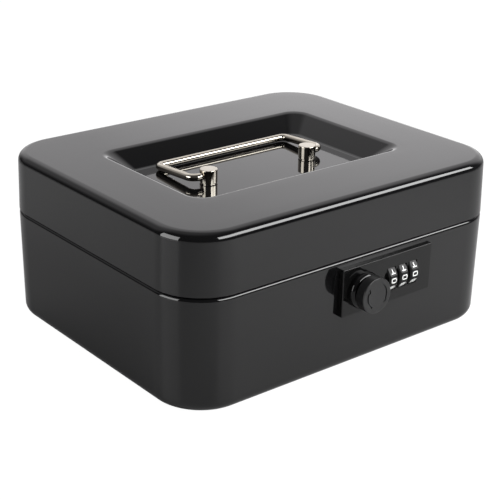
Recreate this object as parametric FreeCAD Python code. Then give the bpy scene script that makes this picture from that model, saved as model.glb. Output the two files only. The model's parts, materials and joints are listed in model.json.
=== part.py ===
"""Small steel cash box with a dished lid, a folding bail handle and a combination lock.

Frame: millimetres, +Z up, +X to the right seen from the front, +Y towards the hinge.
The origin is the centre of the flat underside. The box is drawn closed and unlocked.
"""
import FreeCAD, Part
import math
import os

V = FreeCAD.Vector
X, Y, Z = V(1, 0, 0), V(0, 1, 0), V(0, 0, 1)

# ---- Box --------------------------------------------------------------------------
LENGTH = 200.0            # outside, along X, at the seam
DEPTH = 163.0             # outside, along Y, at the seam
HEIGHT = 87.2
SEAM_Z = 57.3             # middle of the line between base and lid
SEAM_GAP = 0.4
SHEET = 0.8               # steel sheet of base and lid
CORNER_R = 26.2           # upright corners, outside
BASE_DRAFT = 0.6          # base stands in by this much at its bottom
BOTTOM_R = 5.4            # rolled edge of the bottom
SHOULDER_R = 2.0          # rolled shoulder of the base under the seam
LIP_INSET = 2.3           # upstand lip stands in from the base's outside
LIP_TOP_Z = 61.0
LID_DRAFT = 0.7           # lid stands in by this much at its top
TOP_R = 4.6               # rolled edge of the top

# ---- Dished recess in the lid ------------------------------------------------------
RECESS_HALF_X = 65.5
RECESS_HALF_Y = 41.5
RECESS_R = 9.5            # corner radius of its rim
RECESS_DEPTH = 9.0
RECESS_SLOPE_RUN = 11.0   # how far its walls slope in from rim to floor
RECESS_FLOOR_R = 5.0      # corner radius of its floor
RECESS_RIM_ROUND = 4.0
RECESS_FLOOR_ROUND = 3.0

# ---- Handle ------------------------------------------------------------------------
POST_X = 32.0
POST_Y = -5.6
POST_R = 4.45
POST_HEIGHT = 7.3
POST_FOOT_R = 4.1
POST_FOOT_HEIGHT = 0.6
STUD_R = 2.0
STUD_LENGTH = 6.0
MOUNT_WASHER_R = 5.0
MOUNT_WASHER = 0.8
MOUNT_NUT_FLATS = 7.0
MOUNT_NUT = 3.2
PIVOT_HEIGHT = 4.0        # wire's axis above the recess floor
WIRE_R = 1.9
STUB_R = 1.6              # turned-down end of the wire
STUB_DEPTH = 6.0          # how far it enters its post
RUNNING = 0.05            # radial clearance of everything that turns
BAIL_HALF_X = 41.7
BAIL_REACH = 30.2         # pivot to grip, along Y
BAIL_DROP = 1.8           # grip lies lower than the pivot
ARM_BEND_R = 4.5
GRIP_BEND_R = 3.2

# ---- Hinge -------------------------------------------------------------------------
HINGE_OUT = 2.4           # pin's axis behind the back wall
KNUCKLE_R = 1.9
PIN_R = 1.0
LEAF = 0.8
HINGE_HALF = 60.0
KNUCKLES = 5
KNUCKLE_GAP = 0.4
LEAF_REACH = 15.0         # leaf height above or below the pin
RIVET_R = 1.3
RIVET_HEAD_R = 2.3
RIVET_HEAD = 0.9
HINGE_RIVET_X = (-48.0, -16.0, 16.0, 48.0)

# ---- Lock --------------------------------------------------------------------------
LOCK_Z = 41.1             # height of the knob's and the wheels' axes
PLATE_X0, PLATE_X1 = -13.1, 45.8
PLATE_Z0, PLATE_Z1 = 29.2, 53.5
PLATE_THICK = 2.9
SCREW_BITE = 1.9          # how far the case screws go into the plate
SCREW_R = 1.5
SCREW_HEAD_R = 2.6
SCREW_SPREAD = 9.0        # above and below LOCK_Z
KNOB_X = -0.8
COLLAR_R = 9.25
COLLAR_LENGTH = 4.3
COLLAR_ROUND = 2.8
KNOB_R = 8.9
KNOB_LENGTH = 4.9
KNOB_GAP = 0.4
KNOB_NECK_R = 7.8
KNOB_NECK_LENGTH = 0.7
SPINDLE_R = 3.0
WHEEL_PITCH = 7.2
WHEEL_X = (18.4, 18.4 + WHEEL_PITCH, 18.4 + 2 * WHEEL_PITCH)
WHEEL_BEHIND = 1.9        # wheels' axis behind the outside of the front wall
WHEEL_R = 7.4             # over the corners of the ten facets
WHEEL_FLAT_R = 7.1        # over the facets
WHEEL_WIDTH = 5.7
WHEEL_BEVEL = 0.9
WINDOW_WIDTH = 6.2
LUG_X0, LUG_X1 = 13.0, 37.1
LUG_THICK = 1.2
DIGITS = 10
AXLE_R = 1.5
GATE_R = 3.9
GATE_THICK = 0.8
CASE_WALL = 1.0
CASE_DEPTH = 14.4
CAM_HUB_R = 4.2
FINGER_R0, FINGER_R1 = 7.4, 10.4
FINGER_SPREAD = 50        # degrees
SQUARE_HALF = 2.0         # square end of the spindle, in the cam
THREAD_R = 1.7
RESET_X, RESET_Z = 20.5, 47.0

# ---- Coin tray ---------------------------------------------------------------------
TRAY_TOP = 55.0
TRAY_DEPTH = 25.0
TRAY_RIM = 1.5
TRAY_WALL = 1.6
LEDGE_TOP = 53.3

# ---- Worked out --------------------------------------------------------------------
FRONT = -DEPTH / 2
BACK = DEPTH / 2
BASE_RIM_Z = SEAM_Z - SEAM_GAP / 2
LID_RIM_Z = SEAM_Z + SEAM_GAP / 2
FLOOR_Z = HEIGHT - RECESS_DEPTH
HINGE_Y = BACK + HINGE_OUT
PLATE_Y = FRONT - PLATE_THICK
COLLAR_Y = PLATE_Y - COLLAR_LENGTH
KNOB_BACK_Y = COLLAR_Y - KNOB_GAP - KNOB_NECK_LENGTH
KNOB_FRONT_Y = KNOB_BACK_Y - KNOB_LENGTH
WHEEL_Y = FRONT + WHEEL_BEHIND
CASE_FRONT_Y = FRONT + SHEET + 0.35
CASE_BACK_Y = CASE_FRONT_Y + CASE_DEPTH
CAM_FRONT_Y = CASE_FRONT_Y + 4.4
CAM_THICK = 1.6
WASHER_THICK = 0.6
NUT_THICK = 2.4
TAB_X0, TAB_X1 = KNOB_X - 2.8, KNOB_X - 1.6
TAB_FRONT_Y, TAB_BACK_Y = FRONT + 3.85, FRONT + 11.3
TAB_LOW_Z = LOCK_Z + 4.6
RIVET_OFF = LEAF_REACH / 2 + 2      # rivets above and below the pin


# ---- Small makers --------------------------------------------------------------------
def box(x0, x1, y0, y1, z0, z1):
    return Part.makeBox(x1 - x0, y1 - y0, z1 - z0, V(x0, y0, z0))


def rod(radius, start, direction, length):
    return Part.makeCylinder(radius, length, start, direction)


def rounded_outline(half_x, half_y, radius, z):
    """Closed rectangle with round corners, flat at height z."""
    edges = []
    corners = [(1, 1), (-1, 1), (-1, -1), (1, -1)]
    for i, (sx, sy) in enumerate(corners):
        centre = V(sx * (half_x - radius), sy * (half_y - radius), z)
        a0, a1, a2 = (math.radians(90 * i + step) for step in (0, 45, 90))
        p0, p1, p2 = (centre + V(math.cos(a), math.sin(a), 0) * radius for a in (a0, a1, a2))
        edges.append(Part.Arc(p0, p1, p2).toShape())
        nx, ny = corners[(i + 1) % 4]
        next_centre = V(nx * (half_x - radius), ny * (half_y - radius), z)
        edges.append(Part.makeLine(p2, next_centre + V(math.cos(a2), math.sin(a2), 0) * radius))
    return Part.Wire(edges)


def rounded_block(*levels):
    """Solid through rounded outlines; each level is (half_x, half_y, radius, z)."""
    return Part.makeLoft([rounded_outline(*level) for level in levels], True, True)


def box_level(inset, z):
    """Outline of the box's own plan, drawn in by inset."""
    return LENGTH / 2 - inset, DEPTH / 2 - inset, CORNER_R - inset, z


def edges_at(shape, z):
    """Edges that lie flat at height z."""
    return [e for e in shape.Edges if abs(e.BoundBox.ZMin - z) < 1e-4 and abs(e.BoundBox.ZMax - z) < 1e-4]


def prism(points, direction):
    """Solid swept from the polygon of points along direction."""
    return Part.Face(Part.makePolygon(points + points[:1])).extrude(direction)


def profile_x(points, x0, x1):
    """Solid of constant (y, z) section from x0 to x1."""
    return prism([V(x0, y, z) for y, z in points], V(x1 - x0, 0, 0))


def hexagon(across_flats, start, direction, length):
    """Hexagonal prism along Y or Z from start."""
    side = X if abs(direction.x) < 0.5 else Y
    other = direction.cross(side)
    radius = across_flats / 2 / math.cos(math.pi / 6)
    angles = [math.pi / 3 * i for i in range(6)]
    points = [start + side * (radius * math.cos(a)) + other * (radius * math.sin(a)) for a in angles]
    return prism(points, direction * length)


def fuse(shapes):
    return shapes[0].multiFuse(shapes[1:]).removeSplitter()


def cut(shape, tools):
    for tool in tools:
        shape = shape.cut(tool)
    return shape


def group(shapes):
    """Separate equal solids kept in one node."""
    return Part.makeCompound(shapes)


# ---- Base ------------------------------------------------------------------------------
def wheel_opening():
    """Room in the front wall for the wheels and the plate's two lugs."""
    half = WHEEL_R + 0.6
    return box(LUG_X0 - 0.8, LUG_X1 + LUG_THICK + 0.8, FRONT - 1, FRONT + 2, LOCK_Z - half, LOCK_Z + half)


def case_screw_places():
    return [(x, LOCK_Z + up * SCREW_SPREAD) for x in (PLATE_X0 + 3.1, PLATE_X1 - 2.8) for up in (-1, 1)]


def base_shell():
    outside = rounded_block(box_level(BASE_DRAFT, 0), box_level(0, BASE_RIM_Z))
    outside = outside.makeFillet(BOTTOM_R, edges_at(outside, 0))
    outside = outside.makeFillet(SHOULDER_R, edges_at(outside, BASE_RIM_Z))
    lip = rounded_block(box_level(LIP_INSET, BASE_RIM_Z - SHEET), box_level(LIP_INSET, LIP_TOP_Z))
    ceiling_z = BASE_RIM_Z - SHEET
    inside = rounded_block(box_level(BASE_DRAFT + SHEET, SHEET), box_level(SHEET, ceiling_z))
    inside = inside.makeFillet(BOTTOM_R - SHEET, edges_at(inside, SHEET))
    inside = inside.makeFillet(SHOULDER_R - SHEET, edges_at(inside, ceiling_z))
    throat = rounded_block(box_level(LIP_INSET + SHEET, ceiling_z - 2), box_level(LIP_INSET + SHEET, LIP_TOP_Z + 1))
    holes = [wheel_opening(), rod(SPINDLE_R + 1, V(KNOB_X, FRONT - 1, LOCK_Z), Y, 3)]
    holes += [rod(SCREW_R + 0.1, V(x, FRONT - 1, z), Y, 3) for x, z in case_screw_places()]
    holes += [rod(RIVET_R, V(x, BACK - 3, SEAM_Z - RIVET_OFF), Y, 5) for x in HINGE_RIVET_X]
    return cut(outside.fuse(lip), [inside, throat] + holes)


def tray_ledge(side):
    """Angle strip inside one end wall; the tray's rim rests on it."""
    outer = LENGTH / 2 - SHEET - 0.25
    inner = LENGTH / 2 - 7.2
    upright = box(outer - SHEET, outer, -50, 55, LEDGE_TOP - 11, LEDGE_TOP)
    shelf = box(inner, outer, -50, 55, LEDGE_TOP - SHEET, LEDGE_TOP)
    strip = fuse([upright, shelf])
    return strip if side > 0 else strip.mirror(V(0, 0, 0), X)


# ---- Lid -------------------------------------------------------------------------------
def recess_level(z, cover):
    """Outline of the recess at height z; cover pushes its walls outwards by a sheet's thickness."""
    slope = math.atan2(RECESS_DEPTH, RECESS_SLOPE_RUN)
    rise = (z - FLOOR_Z) / RECESS_DEPTH
    inset = RECESS_SLOPE_RUN * (1 - rise) - cover / math.sin(slope)
    radius = RECESS_FLOOR_R + (RECESS_R - RECESS_FLOOR_R) * rise + cover
    return RECESS_HALF_X - inset, RECESS_HALF_Y - inset, radius, z


def lid_form(cover, low_z):
    """Solid form of the lid: its outside with cover 0, its inside with cover one sheet."""
    top_z = HEIGHT - cover
    form = rounded_block(box_level(cover, low_z), box_level(cover + LID_DRAFT, top_z))
    form = form.makeFillet(TOP_R - cover, edges_at(form, top_z))
    over = 2.0
    dish = rounded_block(recess_level(FLOOR_Z - cover, cover), recess_level(top_z + over, cover))
    form = form.cut(dish)
    reach = RECESS_HALF_X + 5
    rim = [e for e in edges_at(form, top_z) if e.BoundBox.XMax < reach and e.BoundBox.XMin > -reach
           and abs(e.BoundBox.YMax) < RECESS_HALF_Y + 5]
    form = form.makeFillet(RECESS_RIM_ROUND - cover, rim)
    return form.makeFillet(RECESS_FLOOR_ROUND + cover, edges_at(form, FLOOR_Z - cover))


def lid_inset(z):
    """How far the lid's outside stands in at height z."""
    return LID_DRAFT * (z - LID_RIM_Z) / (HEIGHT - LID_RIM_Z)


def lid_shell():
    shell = lid_form(0, LID_RIM_Z).cut(lid_form(SHEET, LID_RIM_Z - 1))
    holes = [rod(STUD_R + 0.1, V(s * POST_X, POST_Y, FLOOR_Z - 2), Z, 4) for s in (-1, 1)]
    holes += [rod(RIVET_R, V(x, BACK - 4, SEAM_Z + RIVET_OFF), Y, 6) for x in HINGE_RIVET_X]
    return cut(shell, holes)


# ---- Handle ----------------------------------------------------------------------------
def handle_post(side):
    """Turned post with its own threaded stud, cross-drilled from outside for the wire."""
    x = side * POST_X
    body = rod(POST_R, V(x, POST_Y, FLOOR_Z + POST_FOOT_HEIGHT), Z, POST_HEIGHT - POST_FOOT_HEIGHT)
    body = body.makeFillet(0.4, edges_at(body, FLOOR_Z + POST_HEIGHT))
    foot = rod(POST_FOOT_R, V(x, POST_Y, FLOOR_Z), Z, POST_FOOT_HEIGHT)
    stud = rod(STUD_R, V(x, POST_Y, FLOOR_Z - STUD_LENGTH), Z, STUD_LENGTH)
    mouth = V(side * (POST_X + POST_R + 1), POST_Y, FLOOR_Z + PIVOT_HEIGHT)
    bore = rod(STUB_R + RUNNING, mouth, X * -side, STUB_DEPTH + 1.3)
    return fuse([body, foot, stud]).cut(bore)


def handle_washers():
    low = FLOOR_Z - SHEET - MOUNT_WASHER
    return group([rod(MOUNT_WASHER_R, V(s * POST_X, POST_Y, low), Z, MOUNT_WASHER).cut(
        rod(STUD_R, V(s * POST_X, POST_Y, low - 1), Z, 3)) for s in (-1, 1)])


def handle_nuts():
    low = FLOOR_Z - SHEET - MOUNT_WASHER - MOUNT_NUT
    return group([hexagon(MOUNT_NUT_FLATS, V(s * POST_X, POST_Y, low), Z, MOUNT_NUT).cut(
        rod(STUD_R, V(s * POST_X, POST_Y, low - 1), Z, 5)) for s in (-1, 1)])


def bail_handle():
    """One wire: an end in each post, two arms, and the grip, lying back in the recess."""
    pivot = V(0, POST_Y, FLOOR_Z + PIVOT_HEIGHT)
    along = V(0, BAIL_REACH, -BAIL_DROP).normalize()
    reach = math.hypot(BAIL_REACH, BAIL_DROP)
    stub_out = POST_X + POST_R + 0.4
    diagonal = math.sqrt(0.5)

    def at(x, forward):
        return pivot + V(x, 0, 0) + along * forward

    def bend(side, corner_x, corner_forward, radius, from_pivot):
        """Round corner between a run along X and the arm."""
        cx = corner_x - radius
        cf = corner_forward + (radius if from_pivot else -radius)
        sign = -1 if from_pivot else 1
        ends = [(cx, cf + sign * radius), (cx + radius * diagonal, cf + sign * radius * diagonal), (cx + radius, cf)]
        return [at(side * px, pf) for px, pf in ends]

    edges = []
    left_end, left_mid, left_arm = bend(-1, BAIL_HALF_X, 0, ARM_BEND_R, True)
    left_grip, left_grip_mid, left_up = bend(-1, BAIL_HALF_X, reach, GRIP_BEND_R, False)
    right_grip, right_grip_mid, right_up = bend(1, BAIL_HALF_X, reach, GRIP_BEND_R, False)
    right_end, right_mid, right_arm = bend(1, BAIL_HALF_X, 0, ARM_BEND_R, True)
    edges.append(Part.makeLine(at(-stub_out, 0), left_end))
    edges.append(Part.Arc(left_end, left_mid, left_arm).toShape())
    edges.append(Part.makeLine(left_arm, left_up))
    edges.append(Part.Arc(left_up, left_grip_mid, left_grip).toShape())
    edges.append(Part.makeLine(left_grip, right_grip))
    edges.append(Part.Arc(right_grip, right_grip_mid, right_up).toShape())
    edges.append(Part.makeLine(right_up, right_arm))
    edges.append(Part.Arc(right_arm, right_mid, right_end).toShape())
    edges.append(Part.makeLine(right_end, at(stub_out, 0)))
    path = Part.Wire(edges)
    section = Part.Wire(Part.makeCircle(WIRE_R, at(-stub_out, 0), X))
    wire = path.makePipeShell([section], True, True)
    stubs = [rod(STUB_R, at(s * (stub_out + 0.2), 0), X * -s, 0.6 + STUB_DEPTH) for s in (-1, 1)]
    return fuse([wire] + stubs)


# ---- Hinge -----------------------------------------------------------------------------
def knuckle_spans():
    pitch = 2 * HINGE_HALF / KNUCKLES
    return [(-HINGE_HALF + i * pitch, -HINGE_HALF + (i + 1) * pitch - KNUCKLE_GAP) for i in range(KNUCKLES)]


def hinge_leaf(up, leaf_section, neck_section, bore):
    """Leaf with every second knuckle; up is 1 for the lid's leaf, -1 for the base's."""
    keep = [span for i, span in enumerate(knuckle_spans()) if (i % 2 == 0) == (up < 0)]
    centre = V(0, HINGE_Y, SEAM_Z)
    pieces = [profile_x(leaf_section, -HINGE_HALF, HINGE_HALF - KNUCKLE_GAP)]
    for x0, x1 in keep:
        pieces.append(profile_x(neck_section, x0, x1))
        pieces.append(rod(KNUCKLE_R, centre + X * x0, X, x1 - x0))
    leaf = fuse(pieces)
    leaf = leaf.cut(rod(bore, centre - X * (HINGE_HALF + 1), X, 2 * HINGE_HALF + 2))
    rivet_z = SEAM_Z + up * RIVET_OFF
    return cut(leaf, [rod(RIVET_R, V(x, BACK - 3, rivet_z), Y, 6) for x in HINGE_RIVET_X])


def hinge_leaf_base():
    low = SEAM_Z - LEAF_REACH
    high = SEAM_Z - KNUCKLE_R - 0.5
    leaf = [(BACK, low), (BACK + LEAF, low), (BACK + LEAF, high), (BACK, high)]
    neck = [(BACK, high - 0.5), (BACK + LEAF, high - 0.5), (HINGE_Y - 0.6, SEAM_Z - 1.3),
            (HINGE_Y - PIN_R - 0.2, SEAM_Z), (HINGE_Y - KNUCKLE_R, SEAM_Z)]
    return hinge_leaf(-1, leaf, neck, PIN_R)


def hinge_leaf_lid():
    """Lies along the lid's leaning back wall."""
    low = SEAM_Z + KNUCKLE_R + 0.5
    high = SEAM_Z + LEAF_REACH
    at_low = BACK - lid_inset(low)
    at_high = BACK - lid_inset(high)
    leaf = [(at_low, low), (at_high, high), (at_high + LEAF, high), (at_low + LEAF, low)]
    neck = [(at_low + 0.1, low + 0.5), (at_low + LEAF, low + 0.5), (HINGE_Y - 0.6, SEAM_Z + 1.3),
            (HINGE_Y - PIN_R - 0.2, SEAM_Z), (HINGE_Y - KNUCKLE_R, SEAM_Z + 0.4)]
    return hinge_leaf(1, leaf, neck, PIN_R + RUNNING)


def hinge_pin():
    start = V(-HINGE_HALF - 0.8, HINGE_Y, SEAM_Z)
    return rod(PIN_R, start, X, 2 * HINGE_HALF + 0.8 + 0.8 - KNUCKLE_GAP)


def rivet(x, z, outer_y, inner_y, inward):
    """Rivet through a wall from a rounded head at outer_y to a flat head at inner_y."""
    head = rod(RIVET_HEAD_R, V(x, outer_y, z), Y * -inward, RIVET_HEAD)
    crown = [e for e in head.Edges if abs(e.BoundBox.YMin - (outer_y - inward * RIVET_HEAD)) < 1e-4
             and abs(e.BoundBox.YMax - (outer_y - inward * RIVET_HEAD)) < 1e-4]
    head = head.makeFillet(0.6, crown)
    shank = rod(RIVET_R, V(x, outer_y, z), Y * inward, abs(inner_y - outer_y))
    tail = rod(RIVET_HEAD_R - 0.2, V(x, inner_y, z), Y * inward, 0.7)
    return fuse([head, shank, tail])


def hinge_rivets(up):
    z = SEAM_Z + up * RIVET_OFF
    wall_y = BACK if up < 0 else BACK - lid_inset(z - RIVET_HEAD_R)
    inner_y = wall_y - SHEET - 0.15
    return group([rivet(x, z, wall_y + LEAF, inner_y, -1) for x in HINGE_RIVET_X])


# ---- Lock body ---------------------------------------------------------------------------
def lock_faceplate():
    """Moulding outside the front wall: windows for the wheels, two lugs for their axle."""
    plate = box(PLATE_X0, PLATE_X1, PLATE_Y, FRONT, PLATE_Z0, PLATE_Z1)
    front_edges = [e for e in plate.Edges if not (e.BoundBox.YMin > FRONT - 1e-4)]
    plate = plate.makeFillet(0.5, front_edges)
    lug_half = 2.6
    lugs = [box(x, x + LUG_THICK, FRONT - 1, WHEEL_Y + lug_half, LOCK_Z - lug_half, LOCK_Z + lug_half)
            for x in (LUG_X0, LUG_X1)]
    tools = [rod(WHEEL_R + 0.3, V(x - WINDOW_WIDTH / 2, WHEEL_Y, LOCK_Z), X, WINDOW_WIDTH) for x in WHEEL_X]
    between = LUG_X0 + LUG_THICK
    tools.append(rod(GATE_R + 0.4, V(between, WHEEL_Y, LOCK_Z), X, LUG_X1 - between))
    body = fuse([cut(plate, tools)] + lugs)
    holes = [rod(AXLE_R, V(LUG_X0 - 1, WHEEL_Y, LOCK_Z), X, LUG_X1 - LUG_X0 + 4)]
    holes.append(rod(SPINDLE_R + 0.4, V(KNOB_X, PLATE_Y - 1, LOCK_Z), Y, PLATE_THICK + 2))
    holes += [rod(SCREW_R, V(x, FRONT - SCREW_BITE, z), Y, 4) for x, z in case_screw_places()]
    return cut(body, holes)


def wheel_axle():
    return rod(AXLE_R, V(LUG_X0, WHEEL_Y, LOCK_Z), X, LUG_X1 + LUG_THICK - LUG_X0)


def knob_collar():
    """Fixed boss in front of the plate; the spindle turns in it."""
    boss = rod(COLLAR_R, V(KNOB_X, COLLAR_Y, LOCK_Z), Y, COLLAR_LENGTH)
    rim = [e for e in boss.Edges if e.BoundBox.YMax < COLLAR_Y + 1e-4]
    boss = boss.makeFillet(COLLAR_ROUND, rim)
    return boss.cut(rod(SPINDLE_R + RUNNING, V(KNOB_X, COLLAR_Y - 1, LOCK_Z), Y, COLLAR_LENGTH + 2))


def lock_case():
    """Cover over the works inside the front wall, open towards the wall."""
    x0, x1, z0, z1 = PLATE_X0 + 0.4, PLATE_X1 - 0.1, PLATE_Z0 + 0.2, PLATE_Z1 - 0.3
    case = box(x0, x1, CASE_FRONT_Y, CASE_BACK_Y, z0, z1)
    w = CASE_WALL
    room = box(x0 + w, x1 - w, CASE_FRONT_Y - 1, CASE_BACK_Y - w, z0 + w, z1 - w)
    slot = box(TAB_X0 - 0.5, TAB_X1 + 0.5, TAB_FRONT_Y - 0.7, TAB_BACK_Y + 0.7, z1 - 2, z1 + 1)
    reset_slot = box(RESET_X - 0.4, RESET_X + 5.9, CASE_BACK_Y - 2, CASE_BACK_Y + 1, RESET_Z - 1.2, RESET_Z + 1.2)
    holes = [rod(SCREW_R + 0.1, V(x, CASE_BACK_Y - 2, z), Y, 3) for x, z in case_screw_places()]
    return cut(case, [room, slot, reset_slot] + holes)


def lock_case_screws():
    """Long screws from the back of the case through the wall into the plate."""
    screws = []
    for x, z in case_screw_places():
        shank = rod(SCREW_R, V(x, FRONT - SCREW_BITE, z), Y, CASE_BACK_Y - FRONT + SCREW_BITE)
        head = rod(SCREW_HEAD_R, V(x, CASE_BACK_Y, z), Y, 1.8)
        slot = box(x - 3, x + 3, CASE_BACK_Y + 1.2, CASE_BACK_Y + 3, z - 0.35, z + 0.35)
        screws.append(fuse([shank, head]).cut(slot))
    return group(screws)


# ---- Knob and latch ------------------------------------------------------------------------
def knob():
    """Cap turned by the fingers, with two engraved turning arrows on its face."""
    cap = rod(KNOB_R, V(KNOB_X, KNOB_FRONT_Y, LOCK_Z), Y, KNOB_LENGTH)
    cap = cap.makeFillet(0.5, [e for e in cap.Edges if e.BoundBox.YMax < KNOB_FRONT_Y + 1e-4])
    neck = rod(KNOB_NECK_R, V(KNOB_X, KNOB_BACK_Y, LOCK_Z), Y, KNOB_NECK_LENGTH)
    body = fuse([cap, neck])
    socket = rod(SPINDLE_R, V(KNOB_X, KNOB_FRONT_Y + 2, LOCK_Z), Y, KNOB_LENGTH)
    return cut(body, [socket] + [turning_arrow(start) for start in (30, 210)])


def ring_sector(r0, r1, start, sweep, y0, thickness):
    """Part of a ring about the knob's axis; angles in degrees run from +Z towards +X."""
    def at(radius, angle):
        a = math.radians(angle)
        return V(KNOB_X + radius * math.sin(a), y0, LOCK_Z + radius * math.cos(a))

    half, end = start + sweep / 2, start + sweep
    outer = Part.Arc(at(r1, start), at(r1, half), at(r1, end)).toShape()
    inner = Part.Arc(at(r0, end), at(r0, half), at(r0, start)).toShape()
    sides = [Part.makeLine(at(r1, end), at(r0, end)), Part.makeLine(at(r0, start), at(r1, start))]
    return Part.Face(Part.Wire([outer, sides[0], inner, sides[1]])).extrude(Y * thickness)


def turning_arrow(start):
    """Engraving tool: part of a ring with an arrow head at its end."""
    depth, mean_r, half_width, sweep = 0.4, 6.0, 0.45, 85
    low_y = KNOB_FRONT_Y - 1
    ring = ring_sector(mean_r - half_width, mean_r + half_width, start, sweep, low_y, depth + 1)
    tip = math.radians(start + sweep)
    radial = V(math.sin(tip), 0, math.cos(tip))
    onward = V(math.cos(tip), 0, -math.sin(tip))
    middle = V(KNOB_X, low_y, LOCK_Z) + radial * mean_r
    half_head, head_length = 1.5, 2.2
    corners = [middle - radial * half_head, middle + onward * head_length, middle + radial * half_head]
    head = prism(corners, Y * (depth + 1))
    return ring.fuse(head)


def spindle_square(y0, y1):
    half = SQUARE_HALF
    return box(KNOB_X - half, KNOB_X + half, y0, y1, LOCK_Z - half, LOCK_Z + half)


def knob_spindle():
    """Round through the collar and wall, square in the cam, threaded for the nut."""
    start = V(KNOB_X, KNOB_FRONT_Y + 2, LOCK_Z)
    round_part = rod(SPINDLE_R, start, Y, CAM_FRONT_Y - KNOB_FRONT_Y - 2)
    end = CAM_FRONT_Y + CAM_THICK
    square = spindle_square(CAM_FRONT_Y, end)
    thread = rod(THREAD_R, V(KNOB_X, end, LOCK_Z), Y, WASHER_THICK + NUT_THICK + 1.0)
    return fuse([round_part, square, thread])



def latch_cam():
    """Hub, web and curved finger; the finger points right when the box is unlocked."""
    front = V(KNOB_X, CAM_FRONT_Y, LOCK_Z)
    hub = rod(CAM_HUB_R, front, Y, CAM_THICK)
    half = FINGER_SPREAD / 2
    finger = ring_sector(FINGER_R0, FINGER_R1, 90 - half, FINGER_SPREAD, CAM_FRONT_Y, CAM_THICK)
    web_z = FINGER_R0 * math.sin(math.radians(half))
    web_x = FINGER_R0 * math.cos(math.radians(half)) + 1
    web = box(KNOB_X, KNOB_X + web_x, CAM_FRONT_Y, CAM_FRONT_Y + CAM_THICK, LOCK_Z - web_z, LOCK_Z - web_z + 2.6)
    return fuse([hub, finger, web]).cut(spindle_square(CAM_FRONT_Y - 1, CAM_FRONT_Y + CAM_THICK + 1))


def cam_washer():
    start = V(KNOB_X, CAM_FRONT_Y + CAM_THICK, LOCK_Z)
    return rod(3.6, start, Y, WASHER_THICK).cut(rod(THREAD_R, start - Y, Y, 3))


def cam_nut():
    start = V(KNOB_X, CAM_FRONT_Y + CAM_THICK + WASHER_THICK, LOCK_Z)
    return hexagon(5.5, start, Y, NUT_THICK).cut(rod(THREAD_R, start - Y, Y, 5))


# ---- Strike on the lid -------------------------------------------------------------------
def strike_bracket():
    """Foot spot-welded inside the lid's front wall, and a windowed tab that enters the lock case."""
    foot_y = FRONT + SHEET + lid_inset(SEAM_Z + 16) + 0.03
    foot = box(TAB_X0 - 8, TAB_X1 + 8, foot_y, foot_y + 1.2, SEAM_Z + 6, SEAM_Z + 16)
    outline = [(foot_y, SEAM_Z + 16), (TAB_BACK_Y - 2, SEAM_Z + 16), (TAB_BACK_Y, SEAM_Z + 13),
               (TAB_BACK_Y, TAB_LOW_Z), (TAB_FRONT_Y, TAB_LOW_Z), (TAB_FRONT_Y, SEAM_Z + 5.5),
               (foot_y, SEAM_Z + 6)]
    tab = profile_x(outline, TAB_X0, TAB_X1)
    window = box(TAB_X0 - 1, TAB_X1 + 1, CAM_FRONT_Y - 0.6, CAM_FRONT_Y + CAM_THICK + 0.6,
                 LOCK_Z + 6.4, LOCK_Z + 10.9)
    return fuse([foot, tab]).cut(window)


# ---- Combination works -------------------------------------------------------------------
def number_wheel(x):
    """Ten-sided wheel with bevelled rims; one facet faces forwards."""
    corner_r = WHEEL_FLAT_R / math.cos(math.pi / DIGITS)
    angles = [2 * math.pi * (i + 0.5) / DIGITS for i in range(DIGITS)]
    low_x = x - WHEEL_WIDTH / 2
    points = [V(low_x, WHEEL_Y - corner_r * math.cos(a), LOCK_Z + corner_r * math.sin(a)) for a in angles]
    wheel = prism(points, X * WHEEL_WIDTH)
    bevel = WHEEL_BEVEL
    rim_cone = Part.makeCone(WHEEL_R - bevel, WHEEL_R, bevel, V(low_x, WHEEL_Y, LOCK_Z), X)
    middle = rod(WHEEL_R, V(low_x + bevel, WHEEL_Y, LOCK_Z), X, WHEEL_WIDTH - 2 * bevel)
    far_cone = Part.makeCone(WHEEL_R, WHEEL_R - bevel, bevel, V(low_x + WHEEL_WIDTH - bevel, WHEEL_Y, LOCK_Z), X)
    wheel = wheel.common(fuse([rim_cone, middle, far_cone]))
    return wheel.cut(rod(AXLE_R + RUNNING, V(low_x - 1, WHEEL_Y, LOCK_Z), X, WHEEL_WIDTH + 2))


def gate_disc(x):
    """Thin disc beside a wheel, with one notch towards the fence."""
    start = V(x + WHEEL_WIDTH / 2, WHEEL_Y, LOCK_Z)
    disc = rod(GATE_R, start, X, GATE_THICK).cut(rod(AXLE_R + RUNNING, start - X, X, 3))
    gate = box(start.x - 1, start.x + 2, WHEEL_Y + GATE_R - 1.6, WHEEL_Y + GATE_R + 1, LOCK_Z - 1.2, LOCK_Z + 1.2)
    return disc.cut(gate)


def fence_bar():
    """Bar behind the wheels with one finger for each gate; it slides back as the knob locks."""
    bar_y = WHEEL_Y + WHEEL_R + 0.5
    bar = box(KNOB_X + 5.5, WHEEL_X[2] + 5.0, bar_y, bar_y + 1.5, LOCK_Z - 1.0, LOCK_Z + 1.0)
    tip_y = WHEEL_Y + GATE_R + 0.4
    half = 0.3
    middles = [x + WHEEL_PITCH / 2 for x in WHEEL_X]
    fingers = [box(m - half, m + half, tip_y, bar_y + 0.5, LOCK_Z - 1.0, LOCK_Z + 1.0) for m in middles]
    return fuse([bar] + fingers)


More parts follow.
